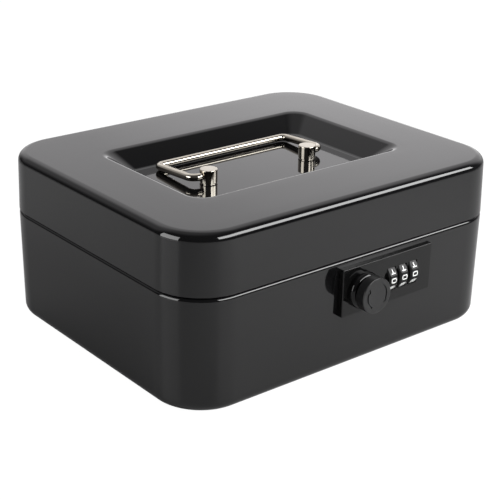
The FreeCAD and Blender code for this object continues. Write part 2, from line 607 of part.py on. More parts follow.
def detent_spring():
    """Strip on the floor of the case with one springy finger under each wheel."""
    floor = PLATE_Z0 + 0.2 + CASE_WALL
    back = CASE_BACK_Y - CASE_WALL - 0.2
    strip = box(WHEEL_X[0] - 2.5, WHEEL_X[2] + 2.5, back - 3.5, back, floor, floor + 0.4)
    side = [(back - 3.6, floor), (back - 3.6, floor + 0.4), (WHEEL_Y + 1.2, floor + 2.3),
            (WHEEL_Y + 0.2, floor + 2.1), (WHEEL_Y + 1.2, floor + 1.9)]
    fingers = [profile_x([(back - 3.0, floor), (back - 3.0, floor + 0.4)] + side[1:] + side[:1], x - 1.5, x + 1.5)
               for x in WHEEL_X]
    return fuse([strip] + fingers)


def reset_lever():
    """Slider in the back of the case that frees the wheels to set a new number."""
    inner = CASE_BACK_Y - CASE_WALL - 0.3
    outer = CASE_BACK_Y + 0.3
    plate = box(RESET_X - 1.5, RESET_X + 4.5, inner - 0.9, inner, RESET_Z - 2.2, RESET_Z + 2.2)
    neck = box(RESET_X, RESET_X + 3, inner, outer, RESET_Z - 0.8, RESET_Z + 0.8)
    thumb = box(RESET_X - 0.5, RESET_X + 3.5, outer, outer + 2.2, RESET_Z - 1.2, RESET_Z + 1.2)
    return fuse([plate, neck, thumb])


# ---- Coin tray ---------------------------------------------------------------------------
def tray_pocket(x0, x1, y0, y1, low_z, scoop):
    """One compartment's hollow, with its floor rolled up at front and back."""
    room = box(x0, x1, y0, y1, low_z, TRAY_TOP + 1)
    upright = [e for e in room.Edges if e.BoundBox.ZLength > 5]
    room = room.makeFillet(3.0, upright)
    scoops = rod_pair_scoop(x0, x1, y0, y1, low_z, scoop)
    return room.common(scoops)


def rod_pair_scoop(x0, x1, y0, y1, low_z, radius):
    """Everything above a floor that rises as a quarter round at front and back."""
    rise = low_z + radius
    upper = box(x0, x1, y0, y1, rise, TRAY_TOP + 1)
    middle = box(x0, x1, y0 + radius, y1 - radius, low_z, rise)
    front = rod(radius, V(x0, y0 + radius, rise), X, x1 - x0)
    back = rod(radius, V(x0, y1 - radius, rise), X, x1 - x0)
    return fuse([upper, middle, front, back])


def coin_tray():
    """Lift-out tray: four coin cups in front, two flat compartments behind, a rim all round."""
    low = TRAY_TOP - TRAY_DEPTH
    half_x, front, back = 91.5, FRONT + 24.3, BACK - 8.2
    rim_out = 4.0
    body = box(-half_x, half_x, front, back, low, TRAY_TOP)
    body = body.makeFillet(8.0, [e for e in body.Edges if e.BoundBox.ZLength > 5])
    body = body.makeFillet(2.5, edges_at(body, low))
    rim = box(-half_x - rim_out, half_x + rim_out, front - rim_out, back + rim_out, TRAY_TOP - TRAY_RIM, TRAY_TOP)
    upright = [e for e in rim.Edges if e.BoundBox.ZLength > 1 and e.BoundBox.YMin > 0]
    rim = rim.makeFillet(20.0, upright)
    upright = [e for e in rim.Edges if e.BoundBox.ZLength > 1 and e.BoundBox.YMax < 0]
    rim = rim.makeFillet(8.0, upright)
    middle_y = 8.0
    w = TRAY_WALL
    cup = (2 * half_x - 5 * w) / 4
    pockets = []
    for i in range(4):
        x0 = -half_x + w + i * (cup + w)
        pockets.append(tray_pocket(x0, x0 + cup, front + w, middle_y, low + w, 16.0))
    wide = (2 * half_x - 3 * w) / 2
    for i in range(2):
        x0 = -half_x + w + i * (wide + w)
        pockets.append(tray_pocket(x0, x0 + wide, middle_y + w, back - w, low + w, 5.0))
    return cut(body.fuse(rim).removeSplitter(), pockets)


def main():
    os.makedirs("parts", exist_ok=True)
    nodes = {
        "base_shell": base_shell(),
        "tray_ledge_left": tray_ledge(-1),
        "tray_ledge_right": tray_ledge(1),
        "lid_shell": lid_shell(),
        "handle_post_left": handle_post(-1),
        "handle_post_right": handle_post(1),
        "handle_washers": handle_washers(),
        "handle_nuts": handle_nuts(),
        "bail_handle": bail_handle(),
        "hinge_leaf_base": hinge_leaf_base(),
        "hinge_leaf_lid": hinge_leaf_lid(),
        "hinge_pin": hinge_pin(),
        "hinge_rivets_base": hinge_rivets(-1),
        "hinge_rivets_lid": hinge_rivets(1),
        "lock_faceplate": lock_faceplate(),
        "wheel_axle": wheel_axle(),
        "knob_collar": knob_collar(),
        "lock_case": lock_case(),
        "lock_case_screws": lock_case_screws(),
        "detent_spring": detent_spring(),
        "knob": knob(),
        "knob_spindle": knob_spindle(),
        "latch_cam": latch_cam(),
        "cam_washer": cam_washer(),
        "cam_nut": cam_nut(),
        "strike_bracket": strike_bracket(),
        "fence_bar": fence_bar(),
        "reset_lever": reset_lever(),
        "coin_tray": coin_tray(),
    }
    for i, x in enumerate(WHEEL_X, start=1):
        nodes["number_wheel_%d" % i] = number_wheel(x)
        nodes["gate_disc_%d" % i] = gate_disc(x)
    for name, shape in nodes.items():
        print(name, "valid" if shape.isValid() else "INVALID", len(shape.Solids), round(shape.Volume, 1))
        shape.exportStep("parts/%s.step" % name)


main()
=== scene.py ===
import json
import math

import bmesh
import bpy
from mathutils import Euler, Matrix, Vector


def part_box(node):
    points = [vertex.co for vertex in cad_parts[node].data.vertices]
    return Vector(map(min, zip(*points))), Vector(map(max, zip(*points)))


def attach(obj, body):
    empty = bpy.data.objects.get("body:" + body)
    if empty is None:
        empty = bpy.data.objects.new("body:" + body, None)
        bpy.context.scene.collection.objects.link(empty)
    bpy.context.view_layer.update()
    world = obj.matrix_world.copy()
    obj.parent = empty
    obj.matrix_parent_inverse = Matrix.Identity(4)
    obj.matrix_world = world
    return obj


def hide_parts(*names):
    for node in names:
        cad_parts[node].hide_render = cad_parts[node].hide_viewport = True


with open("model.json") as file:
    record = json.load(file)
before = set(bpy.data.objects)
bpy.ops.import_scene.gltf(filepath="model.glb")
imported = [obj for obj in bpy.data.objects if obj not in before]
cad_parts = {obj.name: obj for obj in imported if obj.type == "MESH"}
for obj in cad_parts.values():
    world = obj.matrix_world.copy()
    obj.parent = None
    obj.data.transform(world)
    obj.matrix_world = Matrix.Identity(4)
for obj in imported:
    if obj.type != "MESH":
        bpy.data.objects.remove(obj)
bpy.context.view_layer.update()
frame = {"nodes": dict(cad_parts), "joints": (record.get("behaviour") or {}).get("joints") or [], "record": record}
NODES = frame["nodes"]

MM = 0.001

# ---- Sizes of the box, in metres ---------------------------------------------------------
base_low, base_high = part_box("base_shell")
lid_low, lid_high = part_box("lid_shell")
LENGTH = base_high[0] - base_low[0]
DEPTH = base_high[1] - base_low[1]
HEIGHT = lid_high[2]
FRONT_Y = base_low[1]
LIP_TOP_Z = base_high[2]
LID_RIM_Z = lid_low[2]
SEAM_GAP = 0.4 * MM
BASE_RIM_Z = LID_RIM_Z - SEAM_GAP
SHEET = 0.8 * MM
CORNER_R = 26.2 * MM          # upright corners, seen from above

BASE_DRAFT = 0.6 * MM
BOTTOM_R = 5.4 * MM
SHOULDER_R = 2.0 * MM
LIP_INSET = 2.3 * MM
LIP_FOOT_R = 0.3 * MM
LIP_EDGE_R = 0.35 * MM
LIP_INNER_R = 0.2 * MM

LID_DRAFT = 0.7 * MM
TOP_R = 4.6 * MM
LID_RIM_R = 0.3 * MM

RECESS_HALF_X = 65.5 * MM
RECESS_HALF_Y = 41.5 * MM
RECESS_R = 9.5 * MM           # upright corners at the rim
RECESS_FLOOR_R = 5 * MM       # upright corners at the floor
RECESS_DEPTH = 9 * MM
RECESS_RUN = 11 * MM          # how far each side slopes inwards
RECESS_RIM_ROUND = 4 * MM
RECESS_FLOOR_ROUND = 3 * MM
FLOOR_Z = HEIGHT - RECESS_DEPTH

CAP_INSET = 18 * MM           # innermost ring of the underside and of the recess's floor
TOP_INSET = 14 * MM           # innermost ring that follows the lid's sides on its flat top
RIM_OUTSET = 8 * MM           # outermost ring that follows the recess on the flat top

# ---- Sizes of the handle -----------------------------------------------------------------
BAIL_PIVOT = Vector(next(joint for joint in frame["joints"] if joint["name"] == "bail_swing")["pos_m"])
POST_R = 4.45 * MM
POST_TOP_ROUND = 0.45 * MM
POST_LOWER_ROUND = 0.12 * MM
POST_FOOT_R = 4.0 * MM
POST_FOOT = 0.6 * MM          # height of the narrower foot
POST_FOOT_ROUND = 0.08 * MM
POST_BORE_DEPTH = 6 * MM
STUD_R = 2.0 * MM
STUD_ROUND = 0.2 * MM
STUD_ROOM = 0.1 * MM
WIRE_R = 1.9 * MM
STUB_R = 1.6 * MM             # the wire's ends, inside the posts
STUB_ROOM = 0.08 * MM
STUB_REACH = 5.5 * MM         # how deep the ends go into the posts
ARM_BEND_R = 4.5 * MM
GRIP_BEND_R = 3.2 * MM
NECK_GAP = 0.5 * MM           # between a post and the shoulder where the wire narrows
NECK_LENGTH = 0.5 * MM

# ---- Sizes of the lock's openings and wheels -----------------------------------------------
SPINDLE_BORE_R = 4 * MM
WHEEL_SIDE_ROOM = 3.3 * MM
WHEEL_END_ROOM = 0.6 * MM
WHEEL_FLAT_R = 7.1 * MM       # from the axle to the middle of a facet
FACET_ROUND = 0.8 * MM        # how much of each facet rolls over its edge
FACET_ROUND_STEPS = 4
FACET_EDGE_ANGLE = 25         # degrees; an edge sharper than this is rolled
GLYPH_WIDTH = 3.3 * MM
GLYPH_HEIGHT = 2.5 * MM
STROKE = 0.5 * MM
DIGIT_RAISE = 0.06 * MM       # paint above the facet
DIGIT_ROOT = 0.05 * MM        # paint below it

# ---- Fineness of the meshes ----------------------------------------------------------------
CORNER_STEPS = 28             # segments round each upright corner
SIDE_STEPS = 6                # segments along each straight side
FILLET_STEPS = 9              # segments across a quarter turn of a rolled edge
LEAST_FILLET_STEPS = 3
ROD_SIDES = 32
LATHE_SIDES = 96
WIRE_SIDES = 40
WIRE_PITCH = 4 * MM           # between rings on the wire's straight stretches
NECK_STEPS = 4
AXIS_R = 0.01 * MM            # ring at either end of a turned profile
HAIR = 0.01 * MM              # less than this counts as nothing
WALL_CUT = 2 * MM             # how far a cutter reaches on each side of a wall
BORE_CUT = MM                 # how far a bore's cutter stands out of its mouth


# ---- Mesh helpers ----------------------------------------------------------------------------
def new_piece(name, mesh, material, body, replaced=()):
    piece = bpy.data.objects.new(name, mesh)
    bpy.context.scene.collection.objects.link(piece)
    mesh.materials.append(material)
    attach(piece, body)
    if replaced:
        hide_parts(*replaced)
    return piece


def smooth(mesh, angle=35):
    """Smooth shading, with edges sharper than angle (degrees) kept sharp."""
    mesh.shade_smooth()
    mesh.set_sharp_from_angle(angle=math.radians(angle))


def weight_normals(piece):
    """Keeps flat stretches flat where they run into a rolled edge."""
    modifier = piece.modifiers.new("weighted", "WEIGHTED_NORMAL")
    modifier.keep_sharp = True
    modifier.weight = 100


def mesh_from(name, vertices, faces):
    mesh = bpy.data.meshes.new(name)
    mesh.from_pydata(vertices, [], faces)
    mesh.validate()
    return mesh


def mesh_from_work(name, work):
    """Mesh of a bmesh, which is freed."""
    mesh = bpy.data.meshes.new(name)
    work.to_mesh(mesh)
    work.free()
    return mesh


def recalc(mesh):
    """Turns all faces outwards."""
    work = bmesh.new()
    work.from_mesh(mesh)
    bmesh.ops.recalc_face_normals(work, faces=work.faces)
    work.to_mesh(mesh)
    work.free()


def round_rectangle(half_x, half_y, radius, z):
    """Ring of points round a rectangle with round corners, anticlockwise from its right side."""
    ring = []
    corners = [(1, 1), (-1, 1), (-1, -1), (1, -1)]
    for i, (sx, sy) in enumerate(corners):
        centre = Vector((sx * (half_x - radius), sy * (half_y - radius), z))
        for step in range(CORNER_STEPS + 1):
            angle = math.pi / 2 * (i + step / CORNER_STEPS)
            ring.append(centre + Vector((math.cos(angle), math.sin(angle), 0)) * radius)
        next_sx, next_sy = corners[(i + 1) % 4]
        next_centre = Vector((next_sx * (half_x - radius), next_sy * (half_y - radius), z))
        start = ring[-1]
        end = next_centre + Vector((math.cos(angle), math.sin(angle), 0)) * radius
        for step in range(1, SIDE_STEPS):
            ring.append(start.lerp(end, step / SIDE_STEPS))
    return ring


def circle(centre, side, other, radius, sides):
    """Ring of points round centre, in the plane of the unit vectors side and other."""
    ring = []
    for i in range(sides):
        angle = 2 * math.pi * i / sides
        ring.append(centre + (side * math.cos(angle) + other * math.sin(angle)) * radius)
    return ring


def rolled(points):
    """Polyline of (across, along, radius) corners, as (across, along) points with each corner rounded."""
    result = [points[0][:2]]
    for before, here, after in zip(points, points[1:], points[2:]):
        corner, radius = Vector(here[:2]), here[2]
        if radius <= 0:
            result.append(tuple(corner))
            continue
        towards = (Vector(before[:2]) - corner).normalized()
        onwards = (Vector(after[:2]) - corner).normalized()
        half = towards.angle(onwards) / 2
        reach = radius / math.tan(half)
        centre = corner + (towards + onwards).normalized() * (radius / math.sin(half))
        start = corner + towards * reach - centre
        end = corner + onwards * reach - centre
        sweep = start.angle_signed(end)
        steps = max(LEAST_FILLET_STEPS, round(FILLET_STEPS * abs(sweep) / (math.pi / 2)))
        for step in range(steps + 1):
            turned = start.copy()
            turned.rotate(Matrix.Rotation(-sweep * step / steps, 2))
            result.append(tuple(centre + turned))
    result.append(points[-1][:2])
    return result


def shell_from(name, rings):
    """Closed mesh through the rings, with the first and the last ring filled."""
    count = len(rings[0])
    vertices = [point for ring in rings for point in ring]
    faces = [tuple(range(count))]
    for level in range(len(rings) - 1):
        low, high = level * count, (level + 1) * count
        for i in range(count):
            following = (i + 1) % count
            faces.append((low + i, low + following, high + following, high + i))
    faces.append(tuple(range(len(vertices) - count, len(vertices))))
    mesh = mesh_from(name, vertices, faces)
    recalc(mesh)
    return mesh


def lathe(name, profile, centre, axis):
    """Closed turned solid; profile is (radius, along) from one end of its axis to the other."""
    axis = Vector(axis).normalized()
    side = axis.orthogonal().normalized()
    other = axis.cross(side)
    return shell_from(name, [
        circle(Vector(centre) + axis * along, side, other, radius, LATHE_SIDES)
        for radius, along in profile])


def box_rings(points):
    """Rings of the box's own plan; points are (inset, z)."""
    return [
        round_rectangle(LENGTH / 2 - inset, DEPTH / 2 - inset, CORNER_R - inset, z)
        for inset, z in points]


def recess_rings(points):
    """Rings of the recess's plan; points are (inset from its rim, z)."""
    rings = []
    for inset, z in points:
        radius = RECESS_R - (RECESS_R - RECESS_FLOOR_R) * min(inset, RECESS_RUN) / RECESS_RUN
        rings.append(round_rectangle(RECESS_HALF_X - inset, RECESS_HALF_Y - inset, radius, z))
    return rings


def cutter_box(x0, x1, y0, y1, z0, z1):
    corners = [(x, y, z) for x in (x0, x1) for y in (y0, y1) for z in (z0, z1)]
    faces = [(0, 1, 3, 2), (4, 6, 7, 5), (0, 4, 5, 1), (2, 3, 7, 6), (0, 2, 6, 4), (1, 5, 7, 3)]
    return mesh_from("cutter", corners, faces)


def cutter_rod(centre, axis, radius, length):
    """Rod whose middle is at centre."""
    work = bmesh.new()
    turn = Vector((0, 0, 1)).rotation_difference(Vector(axis)).to_matrix().to_4x4()
    bmesh.ops.create_cone(work, cap_ends=True, segments=ROD_SIDES, radius1=radius, radius2=radius,
                          depth=length, matrix=Matrix.Translation(centre) @ turn)
    return mesh_from_work("cutter", work)


def carve(mesh, cutters):
    """Cuts the closed meshes out of mesh."""
    target = bpy.data.objects.new("carved", mesh)
    bpy.context.scene.collection.objects.link(target)
    work = bmesh.new()
    for cutter in cutters:
        work.from_mesh(cutter)
    tool = bpy.data.objects.new("cutters", mesh_from_work("cutters", work))
    bpy.context.scene.collection.objects.link(tool)
    modifier = target.modifiers.new("cut", "BOOLEAN")
    modifier.operation = "DIFFERENCE"
    modifier.solver = "EXACT"
    modifier.use_self = True
    modifier.object = tool
    evaluated = target.evaluated_get(bpy.context.evaluated_depsgraph_get())
    result = bpy.data.meshes.new_from_object(evaluated)
    bpy.data.objects.remove(target)
    bpy.data.objects.remove(tool)
    result.materials.clear()
    return result


# ---- Material helpers --------------------------------------------------------------------------
class Nodes:
    """Small builder for a material's node tree."""

    def __init__(self, name):
        self.material = bpy.data.materials.new(name)
        self.material.use_nodes = True
        self.tree = self.material.node_tree
        self.shader = self.tree.nodes["Principled BSDF"]
        coordinates = self.tree.nodes.new("ShaderNodeTexCoord")
        self.place = coordinates.outputs["Object"]

    def link(self, source, target):
        self.tree.links.new(source, target)

    def set(self, **values):
        """Constant values of the shader's own sockets."""
        for name, value in values.items():
            self.shader.inputs[name.replace("_", " ")].default_value = value

    def drive(self, source, name):
        self.link(source, self.shader.inputs[name])

    def noise(self, scale, detail=2.0, roughness=0.5, stretch=None):
        node = self.tree.nodes.new("ShaderNodeTexNoise")
        node.inputs["Scale"].default_value = scale
        node.inputs["Detail"].default_value = detail
        node.inputs["Roughness"].default_value = roughness
        source = self.place
        if stretch:
            mapping = self.tree.nodes.new("ShaderNodeMapping")
            mapping.inputs["Scale"].default_value = stretch
            self.link(source, mapping.inputs["Vector"])
            source = mapping.outputs["Vector"]
        self.link(source, node.inputs["Vector"])
        return node.outputs["Fac"]

    def cells(self, scale):
        """Distance from the middle of each Voronoi cell."""
        node = self.tree.nodes.new("ShaderNodeTexVoronoi")
        node.inputs["Scale"].default_value = scale
        self.link(self.place, node.inputs["Vector"])
        return node.outputs["Distance"]

    def span(self, source, low, high, from_low=0.3, from_high=0.7):
        node = self.tree.nodes.new("ShaderNodeMapRange")
        node.inputs["From Min"].default_value = from_low
        node.inputs["From Max"].default_value = from_high
        node.inputs["To Min"].default_value = low
        node.inputs["To Max"].default_value = high
        self.link(source, node.inputs["Value"])
        return node.outputs["Result"]

    def blend(self, factor, colour_a, colour_b):
        node = self.tree.nodes.new("ShaderNodeMix")
        node.data_type = "RGBA"
        node.inputs["A"].default_value = (*colour_a, 1)
        node.inputs["B"].default_value = (*colour_b, 1)
        self.link(factor, node.inputs["Factor"])
        return node.outputs["Result"]

    def bump(self, pattern, height, base=None):
        """Normal with the pattern's relief, height metres deep, on top of another normal."""
        node = self.tree.nodes.new("ShaderNodeBump")
        node.inputs["Strength"].default_value = 1.0
        node.inputs["Distance"].default_value = height
        self.link(pattern, node.inputs["Height"])
        if base:
            self.link(base, node.inputs["Normal"])
        return node.outputs["Normal"]

    def tint(self, pattern, colour_a, colour_b, **window):
        """Base colour that drifts from one colour to the other with the pattern."""
        self.drive(self.blend(self.span(pattern, 0, 1, **window), colour_a, colour_b), "Base Color")

    def polish(self, pattern, smoothest, roughest):
        """Roughness that drifts between two values with the pattern."""
        self.drive(self.span(pattern, smoothest, roughest), "Roughness")

    def relief(self, pattern, height):
        self.drive(self.bump(pattern, height), "Normal")


# ---- Materials -----------------------------------------------------------------------------------
def black_enamel():
    """Baked gloss enamel on steel: nearly a mirror, with a faint orange peel and slow waves."""
    nodes = Nodes("black_enamel")
    nodes.set(IOR=1.5, Metallic=0.0, Specular_IOR_Level=0.5)
    nodes.tint(nodes.noise(9, 3), (0.0022, 0.0022, 0.0024), (0.0036, 0.0036, 0.0038))
    nodes.polish(nodes.noise(60, 4), 0.035, 0.075)
    peel = nodes.bump(nodes.noise(420, 1.5, 0.4), 0.0000035)
    nodes.drive(nodes.bump(nodes.noise(28, 1.0, 0.3), 0.00002, peel), "Normal")
    return nodes.material


def nickel():
    """Polished nickel plate, faintly warm, with hairline polishing marks."""
    nodes = Nodes("nickel_plate")
    nodes.set(Metallic=1.0)
    nodes.tint(nodes.noise(160, 3), (0.50, 0.46, 0.395), (0.56, 0.52, 0.45))
    nodes.polish(nodes.noise(300, 4), 0.09, 0.13)
    nodes.relief(nodes.noise(900, 3, 0.6, (0.2, 1.0, 1.0)), 0.0000007)
    return nodes.material


def zinc():
    """Bright zinc plate with spangle and fine scratches."""
    nodes = Nodes("zinc_plate")
    nodes.set(Metallic=1.0)
    nodes.tint(nodes.cells(420), (0.66, 0.67, 0.70), (0.46, 0.47, 0.50), from_low=0.0, from_high=0.8)
    nodes.polish(nodes.noise(500, 5, 0.6, (1, 1, 0.15)), 0.22, 0.42)
    nodes.relief(nodes.noise(1400, 3, 0.6, (1, 0.2, 1)), 0.000006)
    return nodes.material


def brass():
    """Stamped brass with a faint grain."""
    nodes = Nodes("stamped_brass")
    nodes.set(Metallic=1.0)
    nodes.tint(nodes.noise(220, 4), (0.62, 0.43, 0.16), (0.80, 0.62, 0.30))
    nodes.polish(nodes.noise(400, 4), 0.18, 0.36)
    nodes.relief(nodes.noise(1200, 3, 0.6, (1, 0.2, 1)), 0.000005)
    return nodes.material


def gloss_moulding():
    """Gloss black moulding of the lock's plate and collar."""
    nodes = Nodes("gloss_moulding")
    nodes.set(IOR=1.38, Metallic=0.0)
    nodes.tint(nodes.noise(80, 3), (0.0024, 0.0024, 0.0025), (0.0038, 0.0038, 0.0038))
    nodes.polish(nodes.noise(220, 4), 0.05, 0.09)
    nodes.relief(nodes.noise(500, 2, 0.5), 0.000004)
    return nodes.material


def satin_moulding():
    """Fine-grained satin moulding of the knob."""
    nodes = Nodes("satin_moulding")
    nodes.set(IOR=1.5, Metallic=0.0)
    nodes.tint(nodes.noise(300, 4), (0.006, 0.006, 0.0062), (0.011, 0.011, 0.0113))
    nodes.polish(nodes.noise(700, 3), 0.28, 0.38)
    nodes.relief(nodes.noise(2600, 3, 0.6), 0.000022)
    return nodes.material


def wheel_moulding():
    """Black moulding of the number wheels."""
    nodes = Nodes("wheel_moulding")
    nodes.set(IOR=1.2, Metallic=0.0)
    nodes.tint(nodes.noise(400, 3), (0.010, 0.010, 0.010), (0.020, 0.020, 0.020))
    nodes.polish(nodes.noise(600, 3), 0.10, 0.20)
    nodes.relief(nodes.noise(1500, 2, 0.5), 0.000008)
    return nodes.material


def digit_paint():
    """White paint of the digits."""
    nodes = Nodes("digit_paint")
    nodes.set(IOR=1.45, Metallic=0.0)
    nodes.tint(nodes.noise(1200, 4), (0.80, 0.80, 0.79), (0.93, 0.93, 0.92))
    nodes.polish(nodes.noise(1500, 3), 0.35, 0.5)
    nodes.relief(nodes.noise(2500, 2, 0.5), 0.00001)
    return nodes.material


def tray_moulding():
    """Matt grained black plastic of the tray."""
    nodes = Nodes("tray_moulding")
    nodes.set(IOR=1.5, Metallic=0.0)
    nodes.tint(nodes.noise(60, 5), (0.014, 0.014, 0.015), (0.026, 0.026, 0.027))
    nodes.polish(nodes.noise(350, 4), 0.42, 0.6)
    nodes.relief(nodes.noise(1600, 4, 0.65), 0.00006)
    return nodes.material


def spring_steel():
    """Bright spring strip with marks along its length."""
    nodes = Nodes("spring_steel")
    nodes.set(Metallic=1.0)
    nodes.tint(nodes.noise(260, 4), (0.42, 0.43, 0.46), (0.60, 0.60, 0.63))
    nodes.polish(nodes.noise(900, 4, 0.6, (0.1, 1, 1)), 0.18, 0.34)
    nodes.relief(nodes.noise(1800, 3, 0.6, (0.1, 1, 1)), 0.000004)
    return nodes.material


ENAMEL = black_enamel()
NICKEL = nickel()
DIGIT = digit_paint()
SLOT_MATERIALS = {
    "black_gloss_paint": ENAMEL,
    "nickel_plate": NICKEL,
    "zinc_plate": zinc(),
    "brass_lever": brass(),
    "gloss_black_plastic": gloss_moulding(),
    "satin_black_plastic": satin_moulding(),
    "wheel_plastic": wheel_moulding(),
    "tray_plastic": tray_moulding(),
    "spring_steel": spring_steel(),
}


# ---- Base and lid --------------------------------------------------------------------------------
def make_base():
    """Drawn steel base with its shoulder, the lip inside the lid, and the lock's openings."""
    ceiling = BASE_RIM_Z - SHEET
    inner = LIP_INSET + SHEET
    profile = rolled([
        (CAP_INSET, 0, 0),
        (BASE_DRAFT, 0, BOTTOM_R),
        (0, BASE_RIM_Z, SHOULDER_R),
        (LIP_INSET, BASE_RIM_Z, LIP_FOOT_R),
        (LIP_INSET, LIP_TOP_Z, LIP_EDGE_R),
        (inner, LIP_TOP_Z, LIP_EDGE_R),
        (inner, ceiling, LIP_INNER_R),
        (SHEET, ceiling, SHOULDER_R - SHEET),
        (BASE_DRAFT + SHEET, SHEET, BOTTOM_R - SHEET),
        (CAP_INSET, SHEET, 0)])
    wheels_low, wheels_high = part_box("number_wheel_1")[0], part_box("number_wheel_3")[1]
    opening = cutter_box(wheels_low[0] - WHEEL_SIDE_ROOM, wheels_high[0] + WHEEL_SIDE_ROOM,
                         FRONT_Y - WALL_CUT, FRONT_Y + WALL_CUT,
                         wheels_low[2] - WHEEL_END_ROOM, wheels_high[2] + WHEEL_END_ROOM)
    knob_low, knob_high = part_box("knob")
    spindle = ((knob_low[0] + knob_high[0]) / 2, FRONT_Y, (wheels_low[2] + wheels_high[2]) / 2)
    bore = cutter_rod(spindle, (0, 1, 0), SPINDLE_BORE_R, 2 * WALL_CUT)
    mesh = carve(shell_from("base_body", box_rings(profile)), [opening, bore])
    smooth(mesh)
    weight_normals(new_piece("base_body", mesh, ENAMEL, "base", ["base_shell"]))


def make_lid():
    """Drawn steel lid with its dished recess; one sheet thick everywhere."""
    under = HEIGHT - SHEET
    slope = math.atan2(RECESS_DEPTH, RECESS_RUN)
    inner_rim = SHEET * RECESS_RUN / RECESS_DEPTH - SHEET / math.sin(slope)
    outer_dish = rolled([
        (RECESS_RUN + CAP_INSET, FLOOR_Z, 0),
        (RECESS_RUN, FLOOR_Z, RECESS_FLOOR_ROUND),
        (0, HEIGHT, RECESS_RIM_ROUND),
        (-RIM_OUTSET, HEIGHT, 0)])
    skin = rolled([
        (TOP_INSET, HEIGHT, 0),
        (LID_DRAFT, HEIGHT, TOP_R),
        (0, LID_RIM_Z, LID_RIM_R),
        (SHEET, LID_RIM_Z, LID_RIM_R),
        (SHEET + LID_DRAFT, under, TOP_R - SHEET),
        (TOP_INSET, under, 0)])
    inner_dish = rolled([
        (-RIM_OUTSET, under, 0),
        (inner_rim, under, RECESS_RIM_ROUND - SHEET),
        (RECESS_RUN + inner_rim, FLOOR_Z - SHEET, RECESS_FLOOR_ROUND + SHEET),
        (RECESS_RUN + CAP_INSET, FLOOR_Z - SHEET, 0)])
    mesh = shell_from("lid_body", recess_rings(outer_dish) + box_rings(skin) + recess_rings(inner_dish))
    stud_holes = []
    for name in ("handle_post_left", "handle_post_right"):
        low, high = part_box(name)
        middle = ((low[0] + high[0]) / 2, (low[1] + high[1]) / 2, FLOOR_Z)
        stud_holes.append(cutter_rod(middle, (0, 0, 1), STUD_R + STUD_ROOM, 2 * WALL_CUT))
    mesh = carve(mesh, stud_holes)
    smooth(mesh)
    weight_normals(new_piece("lid_body", mesh, ENAMEL, "lid", ["lid_shell"]))


# ---- Handle --------------------------------------------------------------------------------------
def make_post(side, sign):
    """Turned post with its stud, bored for the wire's end from its outer side; sign is -1 on the left."""
    name = "handle_post_" + side
    low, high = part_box(name)
    centre = Vector(((low[0] + high[0]) / 2, (low[1] + high[1]) / 2, 0))
    foot_top = FLOOR_Z + POST_FOOT
    profile = rolled([
        (AXIS_R, low[2], 0),
        (STUD_R, low[2], STUD_ROUND),
        (STUD_R, FLOOR_Z, 0),
        (POST_FOOT_R, FLOOR_Z, 0),
        (POST_FOOT_R, foot_top, POST_FOOT_ROUND),
        (POST_R, foot_top, POST_LOWER_ROUND),
        (POST_R, high[2], POST_TOP_ROUND),
        (AXIS_R, high[2], 0)])
    mouth = Vector((centre.x + sign * POST_R, centre.y, BAIL_PIVOT.z))
    inwards = Vector((-sign, 0, 0))
    bore = cutter_rod(mouth + inwards * ((POST_BORE_DEPTH - BORE_CUT) / 2), (1, 0, 0),
                      STUB_R + STUB_ROOM, POST_BORE_DEPTH + BORE_CUT)
    mesh = carve(lathe("post_" + side, profile, centre, (0, 0, 1)), [bore])
    smooth(mesh, angle=30)
    weight_normals(new_piece("post_" + side, mesh, NICKEL, "lid", [name]))


def bail_route(half_x, reach, post_face):
    """Wire's centre line as (x, forward), from inside the left post round the grip to the right one."""
    corners = rolled([
        (post_face - STUB_REACH, 0, 0),
        (half_x, 0, ARM_BEND_R),
        (half_x, reach, GRIP_BEND_R),
        (0, reach, 0)])
    half = []
    for (x0, f0), (x1, f1) in zip(corners, corners[1:]):
        parts = max(1, round(math.hypot(x1 - x0, f1 - f0) / WIRE_PITCH))
        half += [(x0 + (x1 - x0) * i / parts, f0 + (f1 - f0) * i / parts) for i in range(parts)]
    half.append(corners[-1])
    return [(-x, forward) for x, forward in half] + half[-2::-1]


def neck(shoulder, onwards, radius_before, radius_after):
    """(centre, radius) of the rings that lead the wire softly from one radius to the other."""
    rings = []
    for step in range(NECK_STEPS + 1):
        share = step / NECK_STEPS
        radius = radius_before + (radius_after - radius_before) * (0.5 - 0.5 * math.cos(math.pi * share))
        rings.append((shoulder + onwards * ((share - 0.5) * NECK_LENGTH), radius))
    return rings


def make_bail():
    """The handle's wire, narrowed where its ends enter the posts."""
    low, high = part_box("bail_handle")
    half_x = (high[0] - low[0]) / 2 - WIRE_R
    along = Vector((0, high[1] - WIRE_R - BAIL_PIVOT.y, low[2] + WIRE_R - BAIL_PIVOT.z))
    reach = along.length
    along.normalize()
    across = Vector((1, 0, 0))
    up = along.cross(across).normalized()
    post_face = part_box("handle_post_right")[1][0]
    shoulder_x = post_face + NECK_GAP

    route = bail_route(half_x, reach, post_face)
    centres = [BAIL_PIVOT + across * x + along * forward for x, forward in route]
    radii = [STUB_R if abs(x) < shoulder_x and forward < HAIR else WIRE_R for x, forward in route]
    rings = []
    for i, (centre, radius) in enumerate(zip(centres, radii)):
        before, after = centres[max(i - 1, 0)], centres[min(i + 1, len(centres) - 1)]
        side = (after - before).normalized().cross(up).normalized()
        stations = [(centre, radius)]
        if i and radii[i - 1] != radius:
            shoulder = BAIL_PIVOT + across * math.copysign(shoulder_x, centre.x)
            stations = neck(shoulder, (centre - before).normalized(), radii[i - 1], radius) + stations
        rings += [circle(place, side, up, wire_radius, WIRE_SIDES) for place, wire_radius in stations]
    mesh = shell_from("bail_wire", rings)
    smooth(mesh, angle=40)
    new_piece("bail_wire", mesh, NICKEL, "bail", ["bail_handle"])


